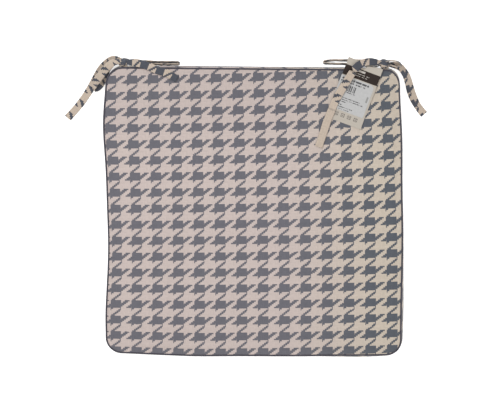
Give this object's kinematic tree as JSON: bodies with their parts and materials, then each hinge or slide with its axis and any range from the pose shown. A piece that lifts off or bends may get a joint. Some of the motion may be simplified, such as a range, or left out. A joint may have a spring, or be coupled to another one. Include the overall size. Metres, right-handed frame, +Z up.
{
  "type": "chair seat pad",
  "caption": "Nearly square boxed chair seat pad in houndstooth cloth with contrast piping, a rear zip, a bow of flat ties at each rear corner and a card hang tag.",
  "frame": {"origin": "middle of the pad's underside, on the surface it lies on, measured without the ties and the hang tag", "axes": "+Z up out of the seat, +Y to the rear edge with the ties and the zip, +X to the right seen from the front edge"},
  "size_m": [0.4885, 0.4065, 0.0424],
  "materials": {
    "houndstooth_cloth": "woven cotton houndstooth, pinkish beige and blue grey, matt",
    "tie_cloth": "the same houndstooth cloth folded into flat ties",
    "piping_cloth": "plain dark ink-grey bias strip, matt",
    "piping_cord": "twisted natural cotton filler cord",
    "foam": "open-cell cushion foam",
    "wadding": "loose white polyester wadding",
    "zip_tape": "ribbed woven zip tape, dark grey",
    "zip_coil": "polyester zip coil, dark grey, satin",
    "zip_metal": "nickel-plated die casting, slightly dulled",
    "tag_card": "uncoated card, cream with a dark brown printed band",
    "tag_sticker": null,
    "tag_nylon": "clear nylon filament"
  },
  "bodies": {
    "pad": {"top_panel": "houndstooth_cloth", "bottom_panel": "houndstooth_cloth", "boxing_front_and_sides": "houndstooth_cloth", "boxing_rear_upper": "houndstooth_cloth", "boxing_rear_lower": "houndstooth_cloth", "top_piping_cover": "piping_cloth", "bottom_piping_cover": "piping_cloth", "top_piping_cord": "piping_cord", "bottom_piping_cord": "piping_cord", "foam_core": "foam", "top_wadding": "wadding", "bottom_wadding": "wadding", "zip_tape_upper": "zip_tape", "zip_tape_lower": "zip_tape", "zip_coil_upper": "zip_coil", "zip_coil_lower": "zip_coil", "zip_stop_closed_end": "zip_metal", "zip_stop_open_end": "zip_metal", "left_tie_knot": "tie_cloth", "left_tie_root": "tie_cloth", "left_tie_loop_outer": "tie_cloth", "left_tie_loop_rear": "tie_cloth", "left_tie_tail_outer": "tie_cloth", "left_tie_tail_top": "tie_cloth", "right_tie_knot": "tie_cloth", "right_tie_root": "tie_cloth", "right_tie_loop_rear": "tie_cloth", "right_tie_loop_side": "tie_cloth", "right_tie_tail_tag": "tie_cloth", "right_tie_tail_side": "tie_cloth", "tag_fastener": "tag_nylon"},
    "zip_slider": {"zip_slider": "zip_metal"},
    "zip_pull": {"zip_pull": "zip_metal"},
    "hang_tag": {"hang_tag_card": "tag_card", "hang_tag_sticker": "tag_sticker"}
  },
  "joints": [
    {"name": "zip_slide", "type": "slide", "parent": "pad", "child": "zip_slider", "axis": [-1, 0, 0], "range_m": [0, 0.288]},
    {"name": "zip_pull_hinge", "type": "hinge", "parent": "zip_slider", "child": "zip_pull", "pos_m": [0.1449, 0.193, 0.013], "axis": [0, 0, -1], "range_deg": [0, 165]},
    {"name": "hang_tag_swivel", "type": "hinge", "parent": "pad", "child": "hang_tag", "pos_m": [0.1455, 0.198, 0.03175], "axis": [0, 0, 1], "range_deg": [-10, 1.5]}
  ]
}
